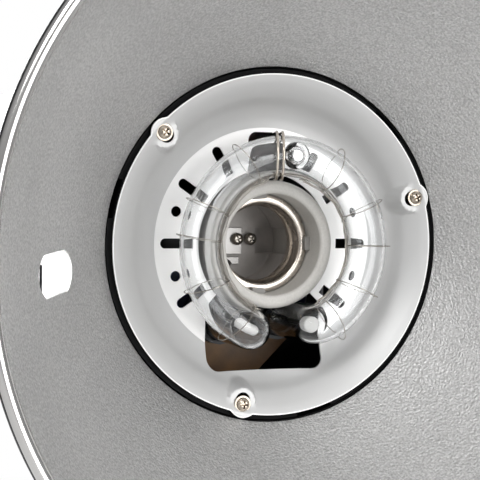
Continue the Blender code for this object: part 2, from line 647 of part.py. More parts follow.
def build_inside(mats, head):
    for name, x in (("main_capacitor_left", -24.0), ("main_capacitor_right", 24.0)):
        can = [(0, 70.0), (17.0, 70.0), (18.5, 71.5), (18.5, 148.5), (17.0, 150.0), (0, 150.0)]
        new_object(name, turned(can, 20, (x, -22.0)), mats["sleeve"], parent=head)
    board = box((-50.0, 50.0), (60.0, 196.0), (2.0, 3.6))
    new_object("main_board", board, mats["green"], parent=head)
    coil = cylinder(9.0, 60.0, 84.0, 16, (30.0, 20.0))
    new_object("trigger_coil", coil, mats["red"], parent=head)
    block = box((-34.0, -10.0), (90.0, 150.0), (4.2, 30.0))
    sink = new_object("heat_sink", block, mats["steel"], parent=head)
    for k in range(3):
        left = -31.0 + 7.2 * k
        cut(sink, box((left, left + 3.6), (89.0, 151.0), (9.0, 31.0)), f"heat_sink_fin_cutter_{k + 1}")

    fan = (0.0, 30.3)
    y0, y1 = 208.0, 223.0
    square = rounded_outline((-29, 29), (fan[1] - 29, fan[1] + 29), 5, 2)
    frame = new_object("fan_frame", prism(square, y0, y1), mats["knob"], parent=head)
    cut(frame, cylinder(27.0, y0 - 1, y1 + 1, 28, fan), "fan_bore_cutter")
    join(frame, cylinder(12.0, y1 - 3.0, y1 - 0.4, 20, fan), "fan_motor_plate")
    spoke = box((-28.0, 28.0), (y1 - 2.7, y1 - 0.7), (fan[1] - 1.6, fan[1] + 1.6))
    join(frame, spoke, "fan_spoke_flat")
    spoke = box((-1.6, 1.6), (y1 - 2.4, y1 - 1.0), (fan[1] - 28.0, fan[1] + 28.0))
    join(frame, spoke, "fan_spoke_upright")

    hub = turned([(0, 209.5), (11.0, 209.5), (12.0, 211.0), (12.0, 219.0), (0, 219.0)], 21, fan)
    rotor = new_object("fan_rotor", hub, mats["knob"], origin=(fan[0], 214.0, fan[1]), parent=head)
    for k in range(7):
        blade = box((10.5, 25.5), (-0.8, 0.8), (-5.2, 5.2))
        pitch = Matrix.Rotation(radians(38), 3, "X")
        around = Matrix.Rotation(2 * pi * k / 7, 3, "Y")
        bmesh.ops.rotate(blade, verts=blade.verts, matrix=around @ pitch)
        bmesh.ops.translate(blade, verts=blade.verts, vec=(fan[0], 214.2, fan[1]))
        join(rotor, blade, f"fan_blade_{k + 1}")


def build_controls(mats, head):
    rear = HOUSE_REAR_Y + REAR_PANEL_T
    for name, x, z in (("power_dial", -34.0, -6.0), ("lamp_dial", 34.0, -6.0)):
        knob = along(lobed_knob(11.0, 12.0, 9, 0.9), (0, 1, 0), (x, rear + GAP, z))
        obj = new_object(name, knob, mats["knob"], origin=(x, rear, z), parent=head)
        join(obj, cylinder(3.6, rear - 12.0, rear + 2.0, 16, (x, z)), f"{name}_shaft")
        mark = box((x - 0.5, x + 0.5), (rear + 11.4, rear + 14), (z + 3.0, z + 12.0))
        cut(obj, mark, f"{name}_mark_cutter")
    for name, radius, x, z, mat, cap in (
        ("test_button", 5.4, 0.0, -20.0, "red", 3.0),
        ("mode_button", 3.4, 16.5, -20.0, "rubber", 2.4),
        ("beep_button", 3.4, -16.5, -20.0, "rubber", 2.4),
    ):
        top = rear + cap
        button = [(0, rear - 8.0), (radius, rear - 8.0), (radius, top - 0.6), (radius - 0.8, top), (0, top)]
        new_object(name, turned(button, 20, (x, z)), mats[mat], origin=(x, rear, z), parent=head)

    socket = [(2.0, -12.0), (5.2, -12.0), (5.2, GAP), (7.4, GAP), (7.4, 1.6), (6.6, 2.2),
              (3.3, 2.2), (3.3, -10.0), (2.0, -10.0)]
    solid = along(turned(socket, 24), (0, 1, 0), (-8.0, rear, -42.0))
    new_object("sync_socket", solid, mats["nickel"], parent=head)
    holder = [(0, -22.0), (6.4, -22.0), (6.4, GAP), (8.2, GAP), (8.2, 5.0), (7.4, 6.0), (0, 6.0)]
    solid = along(turned(holder, 24), (0, 1, 0), (14.0, rear, -42.0))
    fuse = new_object("fuse_cap", solid, mats["knob"], origin=(14.0, rear, -42.0), parent=head)
    cut(fuse, box((9.0, 19.0), (rear + 4.6, rear + 8.0), (-42.7, -41.3)), "fuse_slot_cutter")
    dome = [(0, -8.0), (5.0, -8.0), (5.0, 1.0), (4.4, 3.2), (2.6, 4.9), (0, 5.6)]
    solid = along(turned(dome, 20), (0, 1, 0), (44.0, rear, 36.0))
    new_object("slave_sensor", solid, mats["lens"], parent=head)
    window = box((-15.0, 15.0), (rear - 4.0, rear - 0.6), (-9.0, 5.0))
    new_object("display_window", window, mats["window"], parent=head)

    body = box((-46.0, -19.0), (rear - 26.0, rear + 2.0), (-53.0, -32.0))
    inlet = new_object("power_inlet", body, mats["knob"], parent=head)
    join(inlet, box((-48.6, -16.4), (rear + GAP, rear + 2.0), (-55.6, -29.4)), "inlet_flange")
    mouth = rounded_outline((-44.5, -20.5), (-50.6, -34.4), 3.0, 2)
    cut(inlet, prism(mouth, rear - 14.0, rear + 4.0), "inlet_mouth_cutter")
    for k, (x, z) in enumerate(((-39.5, -43.6), (-32.5, -40.6), (-25.5, -43.6))):
        pin = box((x - 1.0, x + 1.0), (rear - 15.0, rear - 2.0), (z - 2.0, z + 2.0))
        join(inlet, pin, f"inlet_pin_{k + 1}")

    body = box((29.0, 49.0), (rear - 14.0, rear + 1.0), (-47.0, -33.0))
    frame = new_object("switch_frame", body, mats["knob"], parent=head)
    join(frame, box((27.0, 51.0), (rear + GAP, rear + 1.8), (-49.0, -31.0)), "switch_flange")
    cut(frame, box((31.0, 47.0), (rear - 11.0, rear + 5.0), (-45.0, -35.0)), "switch_well_cutter")
    side = [(-7.0, 2.2), (7.0, 2.2), (6.5, -2.5), (0.0, -4.4), (-6.5, -2.5)]
    rocker = prism_z(side, -4.6, 4.6)
    bmesh.ops.rotate(rocker, verts=rocker.verts, matrix=Matrix.Rotation(radians(10), 3, "Z"))
    centre = Vector((39.0, rear + 0.5, -40.0))
    bmesh.ops.translate(rocker, verts=rocker.verts, vec=centre)
    new_object("power_switch", rocker, mats["red"], origin=centre, parent=head)


def build_release(mats, head):
    """Catch that locks the reflector's collar; the thumb slides it back."""
    slide = box((-6.8, 6.8), (16.4, 32.0), (62.9, 65.6))
    catch = new_object("reflector_catch", slide, mats["red"], parent=head)
    join(catch, box((-6.0, 6.0), (22.0, 30.0), (65.0, 70.5)), "catch_thumb_pad")
    join(catch, box((-2.4, 2.4), (12.8, 20.0), (58.6, 63.0)), "catch_nose")


# ---------------------------------------------------------------- bracket and stand socket

def ear_prism(x0, x1, radius, top, centre_y, centre_z, half):
    """Plate across X with a round lower end about the pivot and a straight upper end."""
    profile = arc(centre_y, centre_z, radius, 180, 360, 10)
    profile += [(centre_y + half, top), (centre_y - half, top)]
    return prism_x(profile, x0, x1)


def build_bracket(mats, head):
    """Yoke under the housing: it carries the umbrella tube and turns on the stand's pivot."""
    top = -HOUSE_H / 2 - GAP
    umbrella_z = -UMBRELLA_R
    base = box((-20.0, 20.0), (66.0, 124.0), (top - 4.0, top))
    bracket = new_object("tilt_bracket", base, mats["alloy"], parent=head)
    for k, (x0, x1) in enumerate((EAR_X, (-EAR_X[1], -EAR_X[0]))):
        ear = ear_prism(x0, x1, EAR_R, top - 2.0, PIVOT_BACK, -PIVOT_DROP, EAR_R)
        join(bracket, ear, f"bracket_ear_{k + 1}")
        hole = along(cylinder(4.4, 0, 10, 16), (1, 0, 0), (x0 - 2.0, PIVOT_BACK, -PIVOT_DROP))
        cut(bracket, hole, f"bracket_pivot_cutter_{k + 1}")
    join(bracket, box((-4.0, 4.0), (66.0, 124.0), (umbrella_z + 4.0, top - 2.0)), "umbrella_web")
    cut(bracket, cylinder(UMBRELLA_TUBE_R + GAP, 60.0, 130.0, 20, (0, umbrella_z)), "umbrella_seat_cutter")

    bore, outside = UMBRELLA_BORE_R, UMBRELLA_TUBE_R
    tube = [(bore, 48.0), (outside, 48.0), (outside, 128.0), (bore, 128.0)]
    umbrella = new_object("umbrella_tube", turned(tube, 20, (0, umbrella_z)), mats["steel"], parent=head)
    screw_hole = along(cylinder(2.4, 0, 8, 10), (1, 0, 0), (3.0, UMBRELLA_KNOB_Y, umbrella_z))
    cut(umbrella, screw_hole, "umbrella_screw_hole_cutter")
    origin = (outside, UMBRELLA_KNOB_Y, umbrella_z)
    knob = along(lobed_knob(7.5, 9.0, 6, 0.9), (1, 0, 0), (outside + 6.0, UMBRELLA_KNOB_Y, umbrella_z))
    obj = new_object("umbrella_knob", knob, mats["knob"], origin=origin, parent=head)
    shank = along(cylinder(2.0, 0, 9.0, 10), (1, 0, 0), (5.2, UMBRELLA_KNOB_Y, umbrella_z))
    join(obj, shank, "umbrella_knob_shank")
    for k, (x, y) in enumerate(((-12, 74), (12, 116))):
        hole = along(cylinder(2.2, 0, 10, 10), (0, 0, 1), (x, y, top - 8.0))
        cut(bracket, hole, f"bracket_screw_hole_{k + 1}")


def build_stand(mats):
    """Socket on the light stand, its tongue between the bracket's ears, and what clamps them."""
    s = SOCKET_HALF
    block = prism(rounded_outline((-s, s), (0.0, 44.0), 2.0, 1), -s, s)
    body = new_object("stand_socket", block, mats["alloy"], frame=STAND)
    tongue_half = EAR_X[0] - 1.6
    profile = arc(0, TILT_HEIGHT, 13.0, 0, 180, 10) + [(-13.0, 43.0), (13.0, 43.0)]
    tongue = prism_x(profile, -tongue_half, tongue_half)
    join(body, tongue, "socket_tongue", frame=STAND)
    bore = along(cylinder(SOCKET_BORE_R, -1.0, SOCKET_BORE_DEPTH, 28), (0, 0, 1), (0, 0, 0))
    cut(body, bore, "spigot_bore_cutter", STAND)
    bore = along(cylinder(4.4, -20, 20, 16), (1, 0, 0), (0, 0, TILT_HEIGHT))
    cut(body, bore, "pivot_bore_cutter", STAND)
    cut(body, cylinder(4.4, 5, 20, 16, (0, SOCKET_KNOB_Z)), "knob_bore_cutter", STAND)

    for name, x in (("friction_washer_right", EAR_X[0] - 1.3), ("friction_washer_left", -EAR_X[0] + 0.3)):
        ring = turned([(4.6, 0), (11.0, 0), (11.0, 1.0), (4.6, 1.0)], 20)
        new_object(name, along(ring, (1, 0, 0), (x, 0, TILT_HEIGHT)), mats["rubber"], frame=STAND)

    head_end = -EAR_X[1] - GAP
    bolt = [(0, head_end - 5.0), (6.4, head_end - 5.0), (7.0, head_end - 4.4), (7.0, head_end),
            (4.0, head_end), (4.0, EAR_X[1] + 2.0), (0, EAR_X[1] + 2.0)]
    solid = along(turned(bolt, 16), (1, 0, 0), (0, 0, TILT_HEIGHT))
    new_object("tilt_bolt", solid, mats["steel"], frame=STAND)

    lever_x = EAR_X[1] + GAP
    hub = [(0, 2.0), (4.6, 2.0), (4.6, 0.0), (9.0, 0.0), (9.0, 9.0), (7.6, 11.0), (0, 11.0)]
    origin = (lever_x, 0, TILT_HEIGHT)
    solid = along(turned(hub, 20), (1, 0, 0), origin)
    lever = new_object("tilt_lever", solid, mats["knob"], frame=STAND, origin=origin)
    arm_path = [
        (lever_x + 6.0, 0, TILT_HEIGHT),
        (lever_x + 8.0, 14, TILT_HEIGHT - 8),
        (lever_x + 12.0, 28, TILT_HEIGHT - 18),
        (lever_x + 16.0, 46, TILT_HEIGHT - 30),
    ]
    join(lever, pipe(arm_path, 4.0, 10), "lever_arm", frame=STAND)

    knob_y = SOCKET_HALF + 5.0
    knob = along(lobed_knob(13.0, 13.0, 6, 1.8), (0, 1, 0), (0, knob_y, SOCKET_KNOB_Z))
    origin = (0, knob_y, SOCKET_KNOB_Z)
    obj = new_object("stand_knob", knob, mats["knob"], frame=STAND, origin=origin)
    shank = cylinder(4.0, 9.0, knob_y + 3.0, 14, (0, SOCKET_KNOB_Z))
    join(obj, shank, "stand_knob_shank", frame=STAND)


def main():
    clear_scene()
    mats = materials()
    head = new_empty("head_tilt_axis", STAND + Vector((0, 0, TILT_HEIGHT)))
    reflector = new_empty("reflector_turn_axis", HEAD, head)
    build_reflector(mats, reflector)
    build_bezel(mats, head)
    build_plate(mats, head)
    build_lampholder(mats, head)
    build_flash_tube(mats, head)
    build_housing(mats, head)
    build_handle(mats, head)
    build_inside(mats, head)
    build_controls(mats, head)
    build_release(mats, head)
    build_bracket(mats, head)
    build_stand(mats)


main()
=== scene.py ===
"""Looks of the studio flash head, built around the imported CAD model.

Lengths are in millimetres in the head's own frame (origin at the centre of the front plate's rim,
-Y the way the light leaves) and become metres in the shared frame when a piece is made.
"""
import json
from math import acos, atan2, cos, degrees, exp, hypot, pi, radians, sin, sqrt, tan

import bmesh
import bpy
from mathutils import Matrix, Vector


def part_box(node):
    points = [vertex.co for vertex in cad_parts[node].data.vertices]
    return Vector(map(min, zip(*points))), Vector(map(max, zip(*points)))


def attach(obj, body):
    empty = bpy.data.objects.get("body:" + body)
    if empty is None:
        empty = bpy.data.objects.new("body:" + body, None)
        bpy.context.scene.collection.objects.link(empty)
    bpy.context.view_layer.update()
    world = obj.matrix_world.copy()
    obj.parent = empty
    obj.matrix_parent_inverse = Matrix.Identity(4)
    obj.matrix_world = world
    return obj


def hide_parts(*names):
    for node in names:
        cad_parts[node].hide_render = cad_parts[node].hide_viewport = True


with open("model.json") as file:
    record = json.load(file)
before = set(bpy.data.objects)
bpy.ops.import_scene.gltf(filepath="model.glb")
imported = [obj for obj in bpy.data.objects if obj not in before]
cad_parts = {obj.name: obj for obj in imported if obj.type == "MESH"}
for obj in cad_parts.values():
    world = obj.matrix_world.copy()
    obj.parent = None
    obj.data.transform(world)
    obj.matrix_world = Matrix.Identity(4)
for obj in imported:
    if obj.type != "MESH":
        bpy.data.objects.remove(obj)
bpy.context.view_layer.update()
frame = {"nodes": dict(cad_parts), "record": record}

MM = 0.001
DISH_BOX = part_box("reflector_dish")
PLATE_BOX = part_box("front_plate")
HEAD = Vector((0.0, PLATE_BOX[0].y, (DISH_BOX[0].z + DISH_BOX[1].z) / 2)) / MM
BODY_OF = {node: body for body, nodes in frame["record"]["behaviour"]["bodies"].items() for node in nodes}
SLOT_OF = {part["node"]: part["material_slot"] for part in frame["record"]["subparts"]}

# Front plate
PLATE_R = 55.5
PLATE_FLOOR_Y = 12.0
PLATE_SHEET = 0.8
SCREW_CIRCLE_R = 52.7
BOSS_CIRCLE_R = 52.1
BOSS_TOP_R = 4.6
BOSS_FOOT_R = 6.3
BOSS_TOP_Y = 1.5
BOSS_WALL = 5.0
BOSS_REACH = 9.0              # past this distance from a boss the dish is undisturbed
BOSS_BLEND = 0.7
RIM_BULGE_R = 5.0
SCREW_ANGLES = (17.7, 137.7, 257.7)
SCREW_HOLE_R, SCREW_HOLE_STRETCH = 2.45, 1.3
SLOT_ANGLES = (180, 146, 214, 120, 0, 34, -36, 60)
SLOT_INNER_R, SLOT_OUTER_R, SLOT_HALF_WIDTH = 26.0, 36.4, 1.65
SMALL_HOLE_ANGLES = (161.5, 199.0, 18.5, -19.0)
SMALL_HOLE_CIRCLE_R, SMALL_HOLE_R = 32.8, 1.75
FLOOR_CUT_Y = (8.0, 15.0)     # from before to behind the plate's floor
RIM_ZONE_R = 44.0             # outside this the rings of the sheet stretch to follow the rim
EDGE_ROLL = 0.12

# Reflector bowl
BOWL_HOLE_R, BOWL_HOLE_Y = 57.8, 0.9
BOWL_RIM_R, BOWL_RIM_Y = 106.1, -82.6
BOWL_SHEET = 1.2
BOWL_4F = (BOWL_RIM_R ** 2 - BOWL_HOLE_R ** 2) / (BOWL_HOLE_Y - BOWL_RIM_Y)
BEAD_R = 2.15
BEAD_START, BEAD_SWEEP = 152, 234
BEAD_DROP = 0.6
BEAD_BAND = 1.6               # the bead's finish reaches this far behind the bowl's rim
PAINTED_BEAD_R = 4.0          # the outside's paint ends this far out from the bowl's rim
UMBRELLA_R, UMBRELLA_ANGLE = 81.35, 184.4
UMBRELLA_HOLE_R, UMBRELLA_HALF_FLAT = 7.7, 6.0

# Flash tube
RING_R, RING_Y = 28.8, -5.5
TUBE_R, TUBE_BORE_R = 6.6, 5.5
QUARTZ_IOR = 1.46
LEG_ANGLES = (-109.0, -65.0)
LEG_BEND = 7.0
LEG_END_Y = 33.0
BORE_SEAL = 8.0
TIP_ANGLE = 89.0
CLAMP_X, CLAMP_LEAN = -2.4, 0.33
CLAMP_STRANDS = (-1.25, 0.75)
CLAMP_WIRE_R, CLAMP_GAP = 0.42, 1.0
TRIGGER_GAP = 0.22            # from the quartz to the middle of a turn of ignition wire
TRIGGER_SLACK = 1.3           # how far a turn stands off at its loosest
INNER_RUN_R, SECOND_RUN_R, TURN_R = 0.2, 0.16, 0.15

# Lampholder
HOLDER_R = 21.0
HOLDER_FRONT_Y, HOLDER_BACK_Y = 3.5, 44.0
HOLDER_MOUTH_R = 16.7
SHELL_R, SHELL_SHEET = 13.4, 0.45
SHELL_FRONT_Y, SHELL_BACK_Y = 15.4, 24.9
THREAD_PITCH, THREAD_DEPTH = 3.63, 0.9
LUG_ANGLES = (0, 96, 180, 264)


# ---------------------------------------------------------------- materials

def ramp_between(nodes, low, high, start=0.3, end=0.7):
    ramp = nodes.new("ShaderNodeValToRGB")
    ramp.color_ramp.elements[0].position = start
    ramp.color_ramp.elements[0].color = (*low, 1)
    ramp.color_ramp.elements[1].position = end
    ramp.color_ramp.elements[1].color = (*high, 1)
    return ramp


def scaled(colour, factor):
    return tuple(min(1.0, c * factor) for c in colour)


def surface(name, colour, roughness, metallic=0.0, grain=(900, 0.00004, 0.4), mottle=(60, 0.06), smear=0.08,
            fleck=None, fixed=None):
    """A Principled material with object-space detail.

    grain is (features per metre, depth in metres, strength), mottle is (features per metre, share by
    which the colour wanders), smear is how far the roughness wanders, fleck is (features per metre,
    share) of a fine speckle, and fixed are shader sockets with one value all over.
    """
    mat = bpy.data.materials.new(name)
    mat.use_nodes = True
    nodes, links = mat.node_tree.nodes, mat.node_tree.links
    shader = nodes["Principled BSDF"]
    shader.inputs["Metallic"].default_value = metallic
    for socket, value in (fixed or {}).items():
        shader.inputs[socket].default_value = value
    where = nodes.new("ShaderNodeTexCoord")

    cloud = nodes.new("ShaderNodeTexNoise")
    cloud.inputs["Scale"].default_value = mottle[0]
    cloud.inputs["Detail"].default_value = 4
    links.new(where.outputs["Object"], cloud.inputs["Vector"])
    ramp = ramp_between(nodes, scaled(colour, 1 - mottle[1]), scaled(colour, 1 + mottle[1]))
    links.new(cloud.outputs["Fac"], ramp.inputs["Fac"])
    tint = ramp.outputs["Color"]
    if fleck:
        speck = nodes.new("ShaderNodeTexNoise")
        speck.inputs["Scale"].default_value = fleck[0]
        speck.inputs["Detail"].default_value = 2
        links.new(where.outputs["Object"], speck.inputs["Vector"])
        specks = ramp_between(nodes, (1 - fleck[1],) * 3, (1 + fleck[1],) * 3, 0.35, 0.65)
        links.new(speck.outputs["Fac"], specks.inputs["Fac"])
        mix = nodes.new("ShaderNodeMix")
        mix.data_type = "RGBA"
        mix.blend_type = "MULTIPLY"
        mix.inputs[0].default_value = 1.0
        links.new(tint, mix.inputs[6])
        links.new(specks.outputs["Color"], mix.inputs[7])
        tint = mix.outputs[2]
    links.new(tint, shader.inputs["Base Color"])

    spread = nodes.new("ShaderNodeMapRange")
    spread.inputs["To Min"].default_value = max(0.02, roughness - smear)
    spread.inputs["To Max"].default_value = min(1.0, roughness + smear)
    links.new(cloud.outputs["Fac"], spread.inputs["Value"])
    links.new(spread.outputs["Result"], shader.inputs["Roughness"])

    fine = nodes.new("ShaderNodeTexNoise")
    fine.inputs["Scale"].default_value = grain[0]
    fine.inputs["Detail"].default_value = 3
    links.new(where.outputs["Object"], fine.inputs["Vector"])
    bump = nodes.new("ShaderNodeBump")
    bump.inputs["Distance"].default_value = grain[1]
    bump.inputs["Strength"].default_value = grain[2]
    links.new(fine.outputs["Fac"], bump.inputs["Height"])
    links.new(bump.outputs["Normal"], shader.inputs["Normal"])
    return mat


def glass(name, colour):
    """Clear quartz with the faintest ripple from drawing the tube."""
    return surface(name, colour, 0.02, grain=(70, 0.00006, 0.25), mottle=(40, 0.01), smear=0.01,
                   fixed={"Transmission Weight": 1.0, "IOR": QUARTZ_IOR})


MATS = {
    "spun_aluminium": surface("bowl_inside", (0.65, 0.646, 0.642), 0.5, 1.0, grain=(1300, 0.0004, 1.0),
                              mottle=(25, 0.04), fleck=(1500, 0.17)),
    "bowl_outside": surface("bowl_outside", (0.012, 0.012, 0.013), 0.42, grain=(1300, 0.00012, 0.35)),
    "pressed_aluminium": surface("plate_satin", (0.60, 0.60, 0.597), 0.5, 0.4, grain=(2600, 0.00003, 0.25),
                                 mottle=(30, 0.02), smear=0.04),
    # A brighter copy of the plate's satin for the flat floor and the rim's outer edge: painted highlight of
    # the light they reflect.
    "plate_painted_highlight": surface("plate_painted_highlight", (0.90, 0.895, 0.885), 0.45, 0.35, grain=(2600, 0.00003, 0.25),
                           mottle=(30, 0.015), smear=0.03),
    "nickel": surface("warm_nickel", (0.60, 0.54, 0.47), 0.17, 1.0, grain=(900, 0.00002, 0.3),
                      mottle=(120, 0.06)),
    "zinc_steel": surface("zinc_steel", (0.56, 0.57, 0.58), 0.34, 1.0, grain=(1400, 0.00003, 0.35)),
    "housing_black": surface("housing_paint", (0.020, 0.020, 0.022), 0.46, grain=(1100, 0.00022, 0.6),
                             mottle=(45, 0.12)),
    "knob_plastic": surface("moulded_black", (0.016, 0.016, 0.017), 0.5, grain=(1700, 0.0001, 0.4)),
    "rubber": surface("soft_rubber", (0.02, 0.02, 0.021), 0.78, grain=(1500, 0.0001, 0.5)),
    "steatite": surface("steatite", (0.54, 0.525, 0.495), 0.5, grain=(2200, 0.00012, 0.5),
                        mottle=(90, 0.04),
                        fleck=(1500, 0.04)),
    "quartz_glass": glass("quartz", (0.985, 0.992, 1.0)),
    "phenolic_board": surface("brown_laminate", (0.15, 0.072, 0.02), 0.5, grain=(800, 0.0001, 0.5),
                              mottle=(110, 0.35)),
    "circuit_board": surface("green_mask", (0.015, 0.12, 0.045), 0.35, grain=(500, 0.0001, 0.5),
                             mottle=(200, 0.3)),
    "capacitor_sleeve": surface("blue_sleeve", (0.015, 0.025, 0.09), 0.3, grain=(200, 0.0001, 0.3)),
    "cast_alloy": surface("powder_coat", (0.026, 0.026, 0.028), 0.5, grain=(1200, 0.0002, 0.6),
                          mottle=(60, 0.1)),
    "red_plastic": surface("red_plastic", (0.42, 0.015, 0.012), 0.35, grain=(1500, 0.00006, 0.4)),
    "tinted_lens": surface("red_lens", (0.3, 0.01, 0.01), 0.08, grain=(300, 0.00004, 0.3),
                           fixed={"Transmission Weight": 0.5, "Coat Weight": 0.6}),
    "display_window": surface("smoked_window", (0.012, 0.014, 0.015), 0.07, grain=(100, 0.00002, 0.2),
                              smear=0.02,
                              fixed={"Coat Weight": 0.5}),
    "electrode": surface("sintered_metal", (0.88, 0.87, 0.85), 0.55, 0.1, grain=(2600, 0.0001, 0.6)),
    "shell": surface("shell_nickel", (0.56, 0.51, 0.455), 0.27, 1.0, grain=(900, 0.00002, 0.3),
                     mottle=(120, 0.08)),
    # Darker steatite on the lugs: painted shade of the notches they stand for.
    "shaded_lug": surface("lug_painted_shade", (0.30, 0.29, 0.275), 0.5, grain=(2200, 0.00012, 0.5), mottle=(90, 0.06)),
    # Darker, glossier steatite for the holder's deep cavity: partly its glazed tone, partly painted shade of
    # the recess.
    "cavity": surface("cavity_glaze_and_shade", (0.43, 0.405, 0.385), 0.32, 0.0, grain=(900, 0.0001, 0.4),
                      mottle=(160, 0.15)),
    "bead": surface("bead_polish", (0.62, 0.61, 0.60), 0.16, 1.0, grain=(500, 0.00002, 0.2),
                    mottle=(60, 0.03)),
    "trigger": surface("trigger_nickel", (0.36, 0.335, 0.30), 0.28, 1.0, grain=(2000, 0.00002, 0.3)),
    "bezel": surface("bezel_black", (0.006, 0.006, 0.0065), 0.75, grain=(1100, 0.0001, 0.3),
                     fixed={"Specular IOR Level": 0.12}),
    "screw": surface("screw_nickel", (0.42, 0.365, 0.305), 0.2, 1.0, grain=(900, 0.00002, 0.3),
                     mottle=(400, 0.15)),
    # Near-black steel: painted shade on the lampholder bracket and tube clips inside the head, also used on
    # the heat sink and trigger coil.
    "black_finish_and_shade": surface("blackened_steel_and_shade", (0.03, 0.03, 0.032), 0.5, 0.3, grain=(1400, 0.00005, 0.4)),
    "contact_strip": surface("contact_strip", (0.46, 0.45, 0.44), 0.42, 0.85, grain=(900, 0.00004, 0.4)),
}


# ---------------------------------------------------------------- solids

def rounded(corners, steps=4):
    """Closed outline from corners (a, b, fillet): each corner becomes an arc of its fillet radius."""
    outline = []
    count = len(corners)
    for i, (a, b, fillet) in enumerate(corners):
        corner = Vector((a, b))
        if not fillet:
            outline.append((a, b))
            continue
        before = Vector(corners[i - 1][:2]) - corner
        after = Vector(corners[(i + 1) % count][:2]) - corner
        half = before.angle(after) / 2
        reach = min(fillet / tan(half), 0.45 * before.length, 0.45 * after.length)
        radius = reach * tan(half)
        before.normalize()
        after.normalize()
        centre = corner + (before + after).normalized() * (radius / sin(half))
        first = corner + before * reach - centre
        last = corner + after * reach - centre
        for k in range(steps + 1):
            t = k / steps
            spoke = (first * (1 - t) + last * t).normalized() * radius
            outline.append(tuple(centre + spoke))
    return outline


def skin(bm, rings, closed):
    """Faces between rings of vertices; a ring of one vertex is a pole."""
    pairs = list(zip(rings, rings[1:]))
    if closed:
        pairs.append((rings[-1], rings[0]))
    for low, high in pairs:
        count = max(len(low), len(high))
        for i in range(count):
            j = (i + 1) % count
            if len(low) == 1:
                bm.faces.new((low[0], high[i], high[j]))
            elif len(high) == 1:
                bm.faces.new((low[i], high[0], low[j]))
            else:
                bm.faces.new((low[i], high[i], high[j], low[j]))
    return bm


def lathe(profile, segments, centre=(0, 0), bm=None):
    """Solid of revolution about Y from (radius, y) points; a profile that starts on the axis has poles."""
    bm = bm or bmesh.new()
    rings = []
    for radius, y in profile:
        if radius < 1e-6:
            rings.append([bm.verts.new((centre[0], y, centre[1]))])
            continue
        ring = []
        for k in range(segments):
            angle = 2 * pi * k / segments
            ring.append(bm.verts.new((centre[0] + radius * cos(angle), y, centre[1] + radius * sin(angle))))
        rings.append(ring)
    return skin(bm, rings, profile[0][0] > 1e-6)


def tube(path, radius, sides, bm=None):
    """Round bar with domed ends along a path of points."""
    bm = bm or bmesh.new()
    points = [Vector(p) for p in path]
    tangents = []
    for i in range(len(points)):
        before, after = points[max(i - 1, 0)], points[min(i + 1, len(points) - 1)]
        tangents.append((after - before).normalized())
    side = tangents[0].orthogonal().normalized()
    rings = []
    for i, (point, tangent) in enumerate(zip(points, tangents)):
        side = (side - tangent * side.dot(tangent)).normalized()
        up = tangent.cross(side)
        steps = [(radius, 0.0)]
        if i == 0:
            steps = [(radius * sin(t), -radius * cos(t)) for t in (0.4, 0.8, 1.2)] + steps
        if i == len(points) - 1:
            steps += [(radius * sin(t), radius * cos(t)) for t in (1.2, 0.8, 0.4)]
        for r, shift in steps:
            ring = []
            for k in range(sides):
                angle = 2 * pi * k / sides
                across = side * (r * cos(angle))
                ring.append(bm.verts.new(point + tangent * shift + across + up * (r * sin(angle))))
            rings.append(ring)
    skin(bm, rings, False)
    bm.faces.new(list(reversed(rings[0])))
    bm.faces.new(rings[-1])
    return bm


def prism(outline, y0, y1, bm=None):
    """Extrude a closed outline of (x, z) along Y."""
    bm = bm or bmesh.new()
    front = [bm.verts.new((x, y0, z)) for x, z in outline]
    back = [bm.verts.new((x, y1, z)) for x, z in outline]
    skin(bm, [front, back], False)
    bm.faces.new(list(reversed(front)))
    bm.faces.new(back)
    return bm


def block(x, y, z):
    return prism([(x[0], z[0]), (x[1], z[0]), (x[1], z[1]), (x[0], z[1])], y[0], y[1])


def polar(radius, angle):
    return radius * cos(radians(angle)), radius * sin(radians(angle))


def turned_outline(outline, angle):
    c, s = cos(radians(angle)), sin(radians(angle))
    return [(x * c - z * s, x * s + z * c) for x, z in outline]


def as_object(bm):
    bmesh.ops.recalc_face_normals(bm, faces=bm.faces)
    mesh = bpy.data.meshes.new("scratch")
    bm.to_mesh(mesh)
    bm.free()
    obj = bpy.data.objects.new("scratch", mesh)
    bpy.context.scene.collection.objects.link(obj)
    return obj


def carved(bm, tool_bm, operation="DIFFERENCE"):
    """The exact Boolean of two solids, as a new bmesh."""
    obj, tool = as_object(bm), as_object(tool_bm)
    boolean = obj.modifiers.new("carve", "BOOLEAN")
    boolean.operation = operation
    boolean.solver = "EXACT"
    boolean.object = tool
    evaluated = obj.evaluated_get(bpy.context.evaluated_depsgraph_get())
    result = bmesh.new()
    result.from_mesh(evaluated.to_mesh())
    for done in (obj, tool):
        mesh = done.data
        bpy.data.objects.remove(done)
        bpy.data.meshes.remove(mesh)
    return result


def piece(name, bm, mats, nodes, smooth=38.0, recalc=True):
    """Make a visible piece that stands for one or more CAD nodes of one body."""
    nodes = (nodes,) if isinstance(nodes, str) else nodes
    bmesh.ops.translate(bm, verts=bm.verts, vec=HEAD)
    bmesh.ops.scale(bm, verts=bm.verts, vec=(MM, MM, MM))
    if recalc:
        bmesh.ops.recalc_face_normals(bm, faces=bm.faces)
    mesh = bpy.data.meshes.new(name)
    bm.to_mesh(mesh)
    bm.free()
    mesh.shade_smooth()
    mesh.set_sharp_from_angle(angle=radians(smooth))
    for key in (mats,) if isinstance(mats, str) else mats:
        mesh.materials.append(MATS[key])
    obj = bpy.data.objects.new(name, mesh)
    bpy.context.scene.collection.objects.link(obj)
    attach(obj, BODY_OF[nodes[0]])
    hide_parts(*nodes)
    return obj


# ---------------------------------------------------------------- reflector

def bowl_y(radius):
    return BOWL_HOLE_Y - (radius ** 2 - BOWL_HOLE_R ** 2) / BOWL_4F


